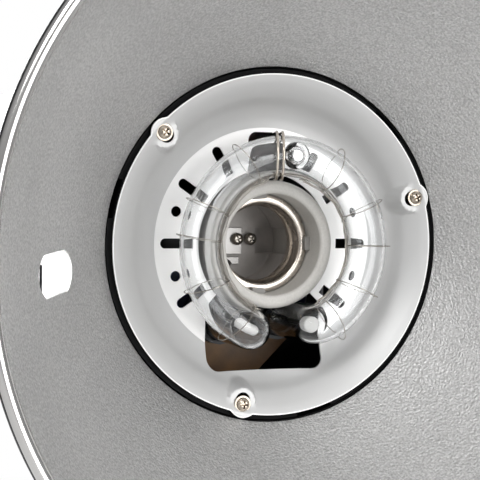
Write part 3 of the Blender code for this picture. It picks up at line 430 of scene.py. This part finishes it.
def bowl_profile(steps=44):
    inner, outer = [], []
    for k in range(steps + 1):
        r = BOWL_HOLE_R + (BOWL_RIM_R - BOWL_HOLE_R) * k / steps
        slope = 2 * r / BOWL_4F
        length = hypot(slope, 1.0)
        inner.append((r, bowl_y(r)))
        outer.append((r + BOWL_SHEET * slope / length, bowl_y(r) + BOWL_SHEET / length))
    bead = []
    for k in range(25):
        angle = radians(BEAD_START + BEAD_SWEEP * k / 24)
        bead.append((BOWL_RIM_R + BEAD_R + BEAD_R * cos(angle), BOWL_RIM_Y - BEAD_DROP + BEAD_R * sin(angle)))
    return inner[:-1] + bead + list(reversed(outer[:-1]))


def make_bowl():
    bowl = lathe(bowl_profile(), 240)
    reach = acos(UMBRELLA_HALF_FLAT / UMBRELLA_HOLE_R)
    outline = []
    for middle in (0.0, pi):
        for k in range(15):
            angle = middle + (pi / 2 - reach) * (k / 7 - 1)
            outline.append((UMBRELLA_HOLE_R * cos(angle), UMBRELLA_HOLE_R * sin(angle)))
    x, z = polar(UMBRELLA_R, UMBRELLA_ANGLE)
    outline = [(x + a, z + b) for a, b in turned_outline(outline, UMBRELLA_ANGLE - 180)]
    bowl = carved(bowl, prism(outline, -70.0, 5.0))
    for face in bowl.faces:
        centre = face.calc_center_median()
        r = hypot(centre.x, centre.z)
        behind = centre.y - bowl_y(r)
        if r > BOWL_RIM_R + 0.05 and centre.y < BOWL_RIM_Y + BEAD_BAND:
            face.material_index = 1 if r > BOWL_RIM_R + PAINTED_BEAD_R else 2
        else:
            face.material_index = 1 if behind > 1.3 else 0
    piece("bowl", bowl, ("spun_aluminium", "bowl_outside", "bead"), "reflector_dish", 30.0)


# ---------------------------------------------------------------- front plate and its screws

PLATE_SECTION = ((0.0, 12.0), (38.3, 12.0), (42.0, 10.9), (45.5, 8.6), (48.5, 5.1), (52.5, 1.8), (55.5, 0.0))
FLOOR_CREASE_SLOPE = -0.2


def dish_y(r):
    """Depth of the pressed dish at a radius, smooth from the flat floor to the rim."""
    if r <= PLATE_SECTION[1][0]:
        return PLATE_FLOOR_Y
    for (r0, y0), (r1, y1) in zip(PLATE_SECTION, PLATE_SECTION[1:]):
        if r <= r1:
            break
    index = PLATE_SECTION.index((r0, y0))
    before = PLATE_SECTION[max(index - 1, 0)]
    after = PLATE_SECTION[min(index + 2, len(PLATE_SECTION) - 1)]
    slope0 = (y1 - before[1]) / (r1 - before[0]) if index > 1 else FLOOR_CREASE_SLOPE
    slope1 = (after[1] - y0) / (after[0] - r0)
    t = min(1.0, (r - r0) / (r1 - r0))
    h = r1 - r0
    return ((2 * t ** 3 - 3 * t ** 2 + 1) * y0 + (t ** 3 - 2 * t ** 2 + t) * h * slope0
            + (3 * t ** 2 - 2 * t ** 3) * y1 + (t ** 3 - t ** 2) * h * slope1)


def smooth_min(a, b, width):
    blend = max(width - abs(a - b), 0.0) / width
    return min(a, b) - blend * blend * width / 4


def plate_y(x, z):
    """The pressed dish with its three raised screw bosses."""
    y = dish_y(hypot(x, z))
    for angle in SCREW_ANGLES:
        cx, cz = polar(BOSS_CIRCLE_R, angle)
        away = hypot(x - cx, z - cz)
        if away < BOSS_REACH:
            wall = BOSS_TOP_Y + max(0.0, away - BOSS_TOP_R) * BOSS_WALL / (BOSS_FOOT_R - BOSS_TOP_R)
            y = smooth_min(y, wall, BOSS_BLEND)
    return y


def rim_radius(angle):
    """The rim bulges a little around each screw boss."""
    radius = PLATE_R
    for middle in SCREW_ANGLES:
        turn = radians((angle - middle + 180) % 360 - 180)
        offset = BOSS_CIRCLE_R * sin(turn)
        if abs(offset) < RIM_BULGE_R and cos(turn) > 0:
            radius = max(radius, BOSS_CIRCLE_R * cos(turn) + sqrt(RIM_BULGE_R ** 2 - offset ** 2))
    return radius


def make_plate():
    segments = 480
    radii = [23.6, 27.0, 31.0, 35.0, 38.1, 38.3, 38.5]
    radii += [38.5 + 0.56 * k for k in range(1, 11)]
    radii += [44.1 + 0.38 * k for k in range(1, 31)]
    sheet = bmesh.new()
    front, back = [], []
    for k, nominal in enumerate(radii):
        last = k == len(radii) - 1
        ring, under = [], []
        for i in range(segments):
            angle = 360 * i / segments
            stretch = max(0.0, (nominal - RIM_ZONE_R) / (radii[-1] - RIM_ZONE_R))
            radius = nominal + (rim_radius(angle) - radii[-1]) * stretch
            x, z = polar(radius, angle)
            y = plate_y(x, z)
            ring.append(sheet.verts.new((x, y + (EDGE_ROLL if last else 0.0), z)))
            under.append(sheet.verts.new((x, y + PLATE_SHEET, z)))
        front.append(ring)
        back.append(under)
    skin(sheet, front + list(reversed(back)), True)

    cutters = bmesh.new()
    half = SLOT_HALF_WIDTH
    tip = [(SLOT_OUTER_R - half + half * sin(radians(t)), -half * cos(radians(t))) for t in range(0, 181, 12)]
    for angle in SLOT_ANGLES:
        outline = [(SLOT_INNER_R, -half)] + tip + [(SLOT_INNER_R, half)]
        prism(turned_outline(outline, angle), *FLOOR_CUT_Y, cutters)
    near, far = FLOOR_CUT_Y
    drill = [(0, near), (SMALL_HOLE_R, near), (SMALL_HOLE_R, far), (0, far)]
    for angle in SMALL_HOLE_ANGLES:
        lathe(drill, 32, polar(SMALL_HOLE_CIRCLE_R, angle), cutters)
    window = rounded([(-6.4, 23.0, 0), (6.4, 23.0, 0), (6.4, 37.0, 2.8), (-6.4, 37.0, 2.8)], 8)
    prism(window, *FLOOR_CUT_Y, cutters)
    sheet = carved(sheet, cutters)
    mouth = rounded([(-20.6, -42.0, 4.2), (20.6, -42.0, 4.2), (20.6, -20.2, 2.5), (17.7, -17.5, 2.0),
                     (12.0, -12.0, 0), (-12.0, -12.0, 0), (-17.7, -17.5, 2.0), (-20.6, -20.2, 2.5)], 8)
    sheet = carved(sheet, prism(mouth, 4.0, 15.0))
    holes = bmesh.new()
    for angle in SCREW_ANGLES:
        outline = []
        for middle, shift in ((180, -SCREW_HOLE_STRETCH), (0, 0.0)):
            for k in range(13):
                t = radians(middle - 90 + 180 * k / 12)
                outline.append((SCREW_CIRCLE_R + shift + SCREW_HOLE_R * cos(t), SCREW_HOLE_R * sin(t)))
        prism(turned_outline(outline, angle), -3.0, 9.0, holes)
    sheet = carved(sheet, holes)
    # The rim's outer edge and the flat floor take the brighter material: painted highlight.
    for face in sheet.faces:
        centre = face.calc_center_median()
        r = hypot(centre.x, centre.z)
        edge = r > rim_radius(degrees(atan2(centre.z, centre.x))) - 0.4
        face.material_index = 1 if edge or r < PLATE_SECTION[1][0] + 0.1 else 0
    piece("pressed_plate", sheet, ("pressed_aluminium", "plate_painted_highlight"), "front_plate", 42.0)


def crossed(head, centre, half, y0, y1, turn):
    """Press a tapering cross recess into a screw head."""
    recess = None
    for angle in (turn, turn + 90.0):
        outline = turned_outline([(-half, -0.24 * half), (half, -0.24 * half), (half, 0.24 * half),
                                  (-half, 0.24 * half)], angle)
        arm = prism(outline, y0, y1)
        for vert in arm.verts:
            if vert.co.y > (y0 + y1) / 2:
                vert.co.x *= 0.5
                vert.co.z *= 0.5
        recess = carved(recess, arm, "UNION") if recess else arm
    bmesh.ops.translate(recess, verts=recess.verts, vec=(centre[0], 0, centre[1]))
    return carved(head, recess)


def make_screws():
    corners = [(0, -1.5, 0), (1.2, -1.5, 0.9), (2.08, -0.75, 0.5), (2.08, 0.02, 0.12), (2.8, 0.02, 0.12),
               (2.8, 0.5, 0.1), (1.4, 0.5, 0), (1.4, 16.9, 0.4), (0, 17.2, 0)]
    for k, angle in enumerate(SCREW_ANGLES):
        x, z = polar(SCREW_CIRCLE_R, angle)
        screw = lathe(rounded(corners, 5), 48, (x, z))
        screw = crossed(screw, (x, z), 1.75, -2.6, 0.1, 24.0 + 31 * k)
        bmesh.ops.translate(screw, verts=screw.verts, vec=(0, BOSS_TOP_Y - 0.8, 0))
        piece(f"plate_screw_piece_{k + 1}", screw, "screw", f"plate_screw_{k + 1}", 30.0)


# ---------------------------------------------------------------- lampholder

def make_lampholder():
    corners = [(HOLDER_MOUTH_R, HOLDER_FRONT_Y, 1.2), (HOLDER_R, HOLDER_FRONT_Y, 2.3), (HOLDER_R, 25.0, 0.4),
               (18.0, 27.0, 0.4), (18.0, HOLDER_BACK_Y, 0.6), (3.2, HOLDER_BACK_Y, 0.3), (3.2, 41.0, 0.3),
               (14.5, 41.0, 0.8), (14.5, 15.6, 0.0), (HOLDER_MOUTH_R, 15.6, 0.4)]
    holder = lathe(rounded(corners, 7), 144)
    lugs = bmesh.new()
    for angle in LUG_ANGLES:
        outline = rounded([(14.9, -2.3, 0.5), (17.4, -2.3, 0), (17.4, 2.3, 0), (14.9, 2.3, 0.5)], 4)
        prism(turned_outline(outline, angle), 12.2, 14.0, lugs)
    holder = carved(holder, lugs, "UNION")
    holder = carved(holder, block((-15.0, 15.0), (40.45, 42.0), (-5.0, 15.0)), "UNION")
    wells = bmesh.new()
    for centre in ((-2.9, 8.2), (-3.5, -9.1)):
        lathe([(0, 36.0), (2.3, 36.0), (2.3, 46.0), (0, 46.0)], 32, centre, wells)
    holder = carved(holder, wells)
    holder = carved(holder, block((7.8, 15.6), (27.0, 42.6), (-4.6, 4.2)))
    for face in holder.faces:
        centre = face.calc_center_median()
        # Faces deep in the cavity take the darker material, partly painted shade.
        deep = centre.y > 15.8 and hypot(centre.x, centre.z) < 14.9
        # The lugs' faces take the darker steatite: painted shade.
        shaded_lug = 12.1 < centre.y < 14.05 and hypot(centre.x, centre.z) < HOLDER_MOUTH_R - 0.1
        face.material_index = 2 if shaded_lug else 1 if deep else 0
    piece("ceramic_holder", holder, ("steatite", "cavity", "shaded_lug"), "lampholder_ceramic", 32.0)

    shell = bmesh.new()
    segments, steps = 120, 44
    inner, outer = [], []
    for j in range(steps + 1):
        y = SHELL_FRONT_Y + (SHELL_BACK_Y - SHELL_FRONT_Y) * j / steps
        fade = min(1.0, 3.0 * min(j, steps - j) / steps)
        ring, sleeve = [], []
        for i in range(segments):
            turn = i / segments
            wave = 0.5 - 0.5 * cos(2 * pi * ((y - SHELL_FRONT_Y) / THREAD_PITCH - turn))
            radius = SHELL_R - THREAD_DEPTH * wave * fade
            x, z = radius * cos(2 * pi * turn), radius * sin(2 * pi * turn)
            ring.append(shell.verts.new((x, y, z)))
            grow = (radius + SHELL_SHEET) / radius
            sleeve.append(shell.verts.new((x * grow, y, z * grow)))
        inner.append(ring)
        outer.append(sleeve)
    lip = [(13.5, 14.95), (13.75, 14.55), (14.2, 14.35), (15.9, 14.3), (16.2, 14.42), (16.25, 14.65),
           (16.1, 14.85), (14.9, 14.9), (14.2, 15.2)]
    collar = []
    for radius, y in lip:
        ring = []
        for i in range(segments):
            angle = 2 * pi * i / segments
            ring.append(shell.verts.new((radius * cos(angle), y, radius * sin(angle))))
        collar.append(ring)
    skin(shell, collar + outer + list(reversed(inner)), True)
    piece("threaded_shell", shell, "shell", "lampholder_shell", 50.0)

    for k, x in enumerate((0.4, 5.4)):
        corners = [(0, 37.55, 0), (1.3, 37.55, 0.8), (2.15, 38.3, 0.4), (2.15, 39.3, 0.1), (0, 39.3, 0)]
        head = lathe(rounded(corners, 5), 40, (x, 0.4))
        head = crossed(head, (x, 0.4), 1.5, 36.8, 38.9, 20.0 + 35 * k)
        piece(f"holder_screw_piece_{k + 1}", head, "trigger", f"lampholder_screw_{k + 1}", 30.0)


# ---------------------------------------------------------------- flash tube

def ring_point(angle, y=RING_Y, radius=RING_R):
    x, z = polar(radius, angle)
    return x, y, z


def tube_path(end_y, arc_steps=110, bend_steps=12):
    left, right = LEG_ANGLES
    bend = LEG_BEND / RING_R * 180 / pi
    path = [ring_point(left, end_y), ring_point(left, 20.0), ring_point(left, 8.0)]
    for k in range(bend_steps):
        t = radians(90 * k / bend_steps)
        path.append(ring_point(left - bend * (1 - cos(t)), RING_Y + LEG_BEND * (1 - sin(t))))
    start, end = left - bend, right + bend - 360
    path += [ring_point(start + (end - start) * k / arc_steps) for k in range(arc_steps + 1)]
    for k in reversed(range(bend_steps)):
        t = radians(90 * k / bend_steps)
        path.append(ring_point(right + bend * (1 - cos(t)), RING_Y + LEG_BEND * (1 - sin(t))))
    return path + [ring_point(right, 8.0), ring_point(right, 20.0), ring_point(right, end_y)]


def make_flash_tube():
    body = tube(tube_path(LEG_END_Y - TUBE_R), TUBE_R, 48)
    tip_at = polar(RING_R, TIP_ANGLE)
    tip = rounded([(0, -14.6, 0), (4.3, -14.6, 2.0), (4.3, -6.5, 0), (0, -6.5, 0)], 8)
    body = carved(body, lathe(tip, 64, tip_at), "UNION")
    bore = tube(tube_path(LEG_END_Y - BORE_SEAL), TUBE_BORE_R, 40)
    neck = rounded([(0, -13.4, 0), (2.7, -13.4, 1.5), (2.7, -7.0, 0), (0, -7.0, 0)], 8)
    bore = carved(bore, lathe(neck, 48, tip_at), "UNION")
    body = carved(body, bore)
    # The sealed bore's faces point into it, and a recalculation would turn them round
    piece("quartz_ring", body, "quartz_glass", "flash_tube", 40.0, recalc=False)

    left, right = LEG_ANGLES
    path = [ring_point(left - 11 + t, RING_Y + 0.2) for t in (-2, 0, 2, 4, 6, 8)]
    path += [ring_point(left - 1.5, RING_Y + 1.4)]
    path += [ring_point(left, RING_Y + rise) for rise in (3.6, 8.0)]
    cathode = tube(path, 1.7, 28)
    tube([ring_point(left, 2.0), ring_point(left, 35.6)], 0.8, 16, cathode)
    piece("cathode_piece", cathode, "electrode", "tube_cathode")
    corners = [(0, -0.7, 0), (2.75, -0.7, 0.6), (2.75, 3.4, 0.4), (1.2, 4.2, 0.3), (0.8, 5.0, 0),
               (0.8, 35.6, 0), (0, 35.6, 0)]
    anode = lathe(rounded(corners, 4), 36, polar(RING_R, right))
    for face in anode.faces:
        face.material_index = 1 if face.calc_center_median().y > 3.5 else 0
    piece("anode_piece", anode, ("electrode", "trigger"), "tube_anode")


# Ignition wires: where the inner run starts and ends, and each turn's angle in front, outside and behind
TRIGGER_WIRES = {
    "trigger_wire_left": ((248, 106), ((116, 120, 114), (155, 156, 153), (177, 174, 178), (209, 203, 207),
                                       (241, 233, 238))),
    "trigger_wire_right": ((78, -60), ((54, 59, 53), (26, 24.5, 20), (0.6, 0, -0.6), (-31, -27, -30),
                                       (-52, -56, -55))),
}


def make_wires():
    reach = TUBE_R + CLAMP_GAP
    path = [(17.0, RING_R + reach), (8.0, RING_R + reach), (3.0, RING_R + reach - 0.1)]
    path += [(RING_Y - reach * sin(pi * k / 28), RING_R + reach * cos(pi * k / 28)) for k in range(29)]
    path += [(-1.5, RING_R - reach + 0.1), (1.6, RING_R - reach + 0.3)]
    clamp = bmesh.new()
    for strand in CLAMP_STRANDS:
        tube([(CLAMP_X + strand + CLAMP_LEAN * (y - RING_Y), y, z) for y, z in path], CLAMP_WIRE_R, 16, clamp)
    piece("clamp_wire", clamp, "nickel", "tube_clamp")

    hug = TUBE_R + TRIGGER_GAP
    for node, ((start, end), turns) in TRIGGER_WIRES.items():
        wire = bmesh.new()
        inside = RING_R - hug - 0.1
        arc = []
        for k in range(73):
            angle = start + (end - start) * k / 72
            arc.append(ring_point(angle, RING_Y + 0.5 * sin(0.21 * k), inside + 0.12 * sin(0.7 * k)))
        tube(arc, INNER_RUN_R, 8, wire)
        second = []
        for k, (x, y, z) in enumerate(arc[2:-2]):
            second.append((x * 0.978, y - 0.35 - 0.2 * sin(0.5 * k), z * 0.978))
        tube(second, SECOND_RUN_R, 8, wire)
        for front, outer, rear in turns:
            path = []
            for k in range(41):
                t = k / 20
                angle = front + (outer - front) * t if t <= 1 else outer + (rear - outer) * (t - 1)
                lap = pi * t
                slack = TRIGGER_SLACK * exp(-((t - 0.95) / 0.17) ** 2)
                radius = RING_R - (hug + slack) * cos(lap)
                path.append(ring_point(angle, RING_Y - (hug + slack) * sin(lap), radius))
            tube(path, TURN_R, 8, wire)
        piece(f"{node}_piece", wire, "trigger", node)


# ---------------------------------------------------------------- parts that only need finer edges

REFINED = {
    "reflector_collar": 0.4, "front_bezel": 0.45, "lampholder_contact": 0.2, "lampholder_bracket": 0.3,
    "tube_board": 0.15, "tube_clip_left": 0.15, "tube_clip_right": 0.15,
    "housing_top": 0.7, "housing_bottom": 0.7, "rear_panel": 0.6, "carry_handle": 2.2,
    "rear_screw_1": 0.2, "rear_screw_2": 0.2, "rear_screw_3": 0.2, "rear_screw_4": 0.2,
    "main_capacitor_left": 0.5, "main_capacitor_right": 0.5, "main_board": 0.15, "trigger_coil": 0.5,
    "heat_sink": 0.3, "fan_frame": 0.5, "fan_rotor": 0.25, "sync_socket": 0.2, "slave_sensor": 0.2,
    "display_window": 0.3, "power_inlet": 0.4, "switch_frame": 0.4, "tilt_bracket": 0.8, "umbrella_tube": 0.3,
    "power_dial": 0.5, "lamp_dial": 0.5, "test_button": 0.3, "mode_button": 0.3, "beep_button": 0.3,
    "fuse_cap": 0.35, "power_switch": 0.5, "reflector_catch": 0.4, "umbrella_knob": 0.6, "stand_socket": 0.8,
    "friction_washer_right": 0.15, "friction_washer_left": 0.15, "tilt_bolt": 0.3, "tilt_lever": 0.5,
    "stand_knob": 0.9,
}


BEVEL_FROM_ANGLE, SHARP_FROM_ANGLE = 32, 50

# Parts whose look differs from the rest of their slot. The lampholder bracket and the tube clips, seen
# through the plate's openings, take the near-black steel as painted shade of the inside of the head; the heat
# sink and the trigger coil take the same near-black steel.
LOOKS = {
    "lampholder_bracket": "black_finish_and_shade", "heat_sink": "black_finish_and_shade", "tube_clip_left": "black_finish_and_shade",
    "tube_clip_right": "black_finish_and_shade", "trigger_coil": "black_finish_and_shade", "front_bezel": "bezel",
    "reflector_collar": "bezel", "lampholder_contact": "contact_strip",
}


def make_refined(node, width):
    """A copy of the CAD solid with clean faces and rounded edges."""
    bm = bmesh.new()
    bm.from_mesh(frame["nodes"][node].data)
    bmesh.ops.remove_doubles(bm, verts=bm.verts, dist=1e-6)
    bmesh.ops.dissolve_limit(bm, angle_limit=radians(1.0), verts=bm.verts, edges=bm.edges)
    mesh = bpy.data.meshes.new(f"{node}_piece")
    bm.to_mesh(mesh)
    bm.free()
    obj = bpy.data.objects.new(f"{node}_piece", mesh)
    bpy.context.scene.collection.objects.link(obj)
    mesh.materials.clear()
    mesh.materials.append(MATS[LOOKS.get(node, SLOT_OF[node])])
    bevel = obj.modifiers.new("edges", "BEVEL")
    bevel.width = width * MM
    bevel.segments = 3
    bevel.limit_method = "ANGLE"
    bevel.angle_limit = radians(BEVEL_FROM_ANGLE)
    bevel.harden_normals = True
    bevel.use_clamp_overlap = True
    mesh.shade_smooth()
    mesh.set_sharp_from_angle(angle=radians(SHARP_FROM_ANGLE))
    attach(obj, BODY_OF[node])
    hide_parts(node)


# ---------------------------------------------------------------- stage, light and camera

VIEW_AZIMUTH, VIEW_ELEVATION, VIEW_DISTANCE = -22.7, 2.5, 422.0
VIEW_TRIM = (-0.2, 1.7, 1.0)          # pitch, yaw and roll of the camera off the head's centre, in degrees
LENS = 97.5
FLOOR_Z = -0.28
FLOOR_HALF = 30
FLOOR_FADE = (0.3, 1.5)               # metres from the object over which the floor turns into backdrop

# Strength of the room's light by direction: (from, to, strength at from, strength at to)
ROOM_DEPTH = (-0.35, 0.35, 0.42, 0.05)
ROOM_HEIGHT = (-0.2, 1.0, 0.0, 0.28)

# Soft lights: name, place and target from the head's centre in metres, size, power in watts
LIGHTS = (
    ("key", (-0.9, -1.5, 1.2), (0, 0, 0), (0.8, 0.8), 16),
    ("front", (0.55, -1.35, 0.05), (0, 0, 0), (0.9, 1.1), 12),
    ("rear", (0.6, 1.8, 1.2), (0, 0.1, 0), (1.4, 1.0), 20),
    ("side_kicker", (-0.15, 0.56, 0.06), (-0.05, 0.1, 0.01), (0.28, 0.38), 4.6),
)


def make_camera():
    az, el = radians(VIEW_AZIMUTH), radians(VIEW_ELEVATION)
    place = Vector((sin(az) * cos(el), -cos(az) * cos(el), sin(el))) * VIEW_DISTANCE
    forward = -place.normalized()
    right = forward.cross(Vector((0, 0, 1))).normalized()
    down = forward.cross(right)
    axes = Matrix((right, down, forward))
    pitch, yaw, roll = (Matrix.Rotation(radians(a), 3, axis) for a, axis in zip(VIEW_TRIM, "XYZ"))
    axes = roll @ yaw @ pitch @ axes
    data = bpy.data.cameras.new("camera")
    data.lens = LENS
    data.sensor_width = 36.0
    data.clip_start = 0.01
    camera = bpy.data.objects.new("camera", data)
    turn = Matrix((axes[0], -axes[1], -axes[2])).transposed().to_4x4()
    camera.matrix_world = Matrix.Translation((HEAD + place) * MM) @ turn
    bpy.context.scene.collection.objects.link(camera)
    bpy.context.scene.camera = camera


def area_light(name, place, target, size, power):
    data = bpy.data.lights.new(name, "AREA")
    data.shape = "RECTANGLE"
    data.size, data.size_y = size
    data.energy = power
    light = bpy.data.objects.new(name, data)
    place, target = Vector(place) + HEAD * MM, Vector(target) + HEAD * MM
    light.location = place
    light.rotation_euler = (target - place).to_track_quat("-Z", "Y").to_euler()
    light.visible_camera = False
    bpy.context.scene.collection.objects.link(light)


def pale_floor():
    """Pale floor that fades into the backdrop far from the object."""
    mat = surface("pale_floor", (0.88, 0.88, 0.88), 0.8, grain=(40, 0.001, 0.1), mottle=(2, 0.01))
    nodes, links = mat.node_tree.nodes, mat.node_tree.links
    where = nodes.new("ShaderNodeTexCoord")
    reach = nodes.new("ShaderNodeVectorMath")
    reach.operation = "LENGTH"
    links.new(where.outputs["Object"], reach.inputs[0])
    fade = nodes.new("ShaderNodeMapRange")
    fade.inputs["From Min"].default_value = FLOOR_FADE[0]
    fade.inputs["From Max"].default_value = FLOOR_FADE[1]
    links.new(reach.outputs["Value"], fade.inputs["Value"])
    path = nodes.new("ShaderNodeLightPath")
    seen = nodes.new("ShaderNodeMath")
    seen.operation = "MULTIPLY"
    links.new(fade.outputs["Result"], seen.inputs[0])
    links.new(path.outputs["Is Camera Ray"], seen.inputs[1])
    glow = nodes.new("ShaderNodeEmission")
    mix = nodes.new("ShaderNodeMixShader")
    links.new(seen.outputs["Value"], mix.inputs["Fac"])
    links.new(nodes["Principled BSDF"].outputs["BSDF"], mix.inputs[1])
    links.new(glow.outputs["Emission"], mix.inputs[2])
    links.new(mix.outputs["Shader"], nodes["Material Output"].inputs["Surface"])
    return mat


def make_stage():
    floor = bmesh.new()
    half = FLOOR_HALF
    corners = ((-half, -half), (half, -half), (half, half), (-half, half))
    floor.faces.new([floor.verts.new((x, y, 0)) for x, y in corners])
    mesh = bpy.data.meshes.new("floor")
    floor.to_mesh(mesh)
    floor.free()
    mesh.materials.append(pale_floor())
    obj = bpy.data.objects.new("floor", mesh)
    obj.location.z = FLOOR_Z
    bpy.context.scene.collection.objects.link(obj)

    world = bpy.data.worlds.new("studio")
    bpy.context.scene.world = world
    world.use_nodes = True
    nodes, links = world.node_tree.nodes, world.node_tree.links
    backdrop = nodes["Background"]
    backdrop.inputs["Color"].default_value = (1.0, 1.0, 1.0, 1.0)
    backdrop.inputs["Strength"].default_value = 1.0
    room = nodes.new("ShaderNodeBackground")
    where = nodes.new("ShaderNodeTexCoord")
    split = nodes.new("ShaderNodeSeparateXYZ")
    links.new(where.outputs["Generated"], split.inputs["Vector"])
    depth = nodes.new("ShaderNodeMapRange")
    for socket, value in zip(("From Min", "From Max", "To Min", "To Max"), ROOM_DEPTH):
        depth.inputs[socket].default_value = value
    links.new(split.outputs["Y"], depth.inputs["Value"])
    height = nodes.new("ShaderNodeMapRange")
    for socket, value in zip(("From Min", "From Max", "To Min", "To Max"), ROOM_HEIGHT):
        height.inputs[socket].default_value = value
    links.new(split.outputs["Z"], height.inputs["Value"])
    total = nodes.new("ShaderNodeMath")
    total.operation = "ADD"
    links.new(depth.outputs["Result"], total.inputs[0])
    links.new(height.outputs["Result"], total.inputs[1])
    links.new(total.outputs["Value"], room.inputs["Strength"])
    path = nodes.new("ShaderNodeLightPath")
    mix = nodes.new("ShaderNodeMixShader")
    links.new(path.outputs["Is Camera Ray"], mix.inputs["Fac"])
    links.new(room.outputs["Background"], mix.inputs[1])
    links.new(backdrop.outputs["Background"], mix.inputs[2])
    links.new(mix.outputs["Shader"], nodes["World Output"].inputs["Surface"])

    for light in LIGHTS:
        area_light(*light)
    bpy.context.scene.view_settings.view_transform = "Standard"


# ---------------------------------------------------------------- build

make_bowl()
make_plate()
make_screws()
make_lampholder()
make_flash_tube()
make_wires()
for refined_node, edge_width in REFINED.items():
    make_refined(refined_node, edge_width)
make_camera()
make_stage()
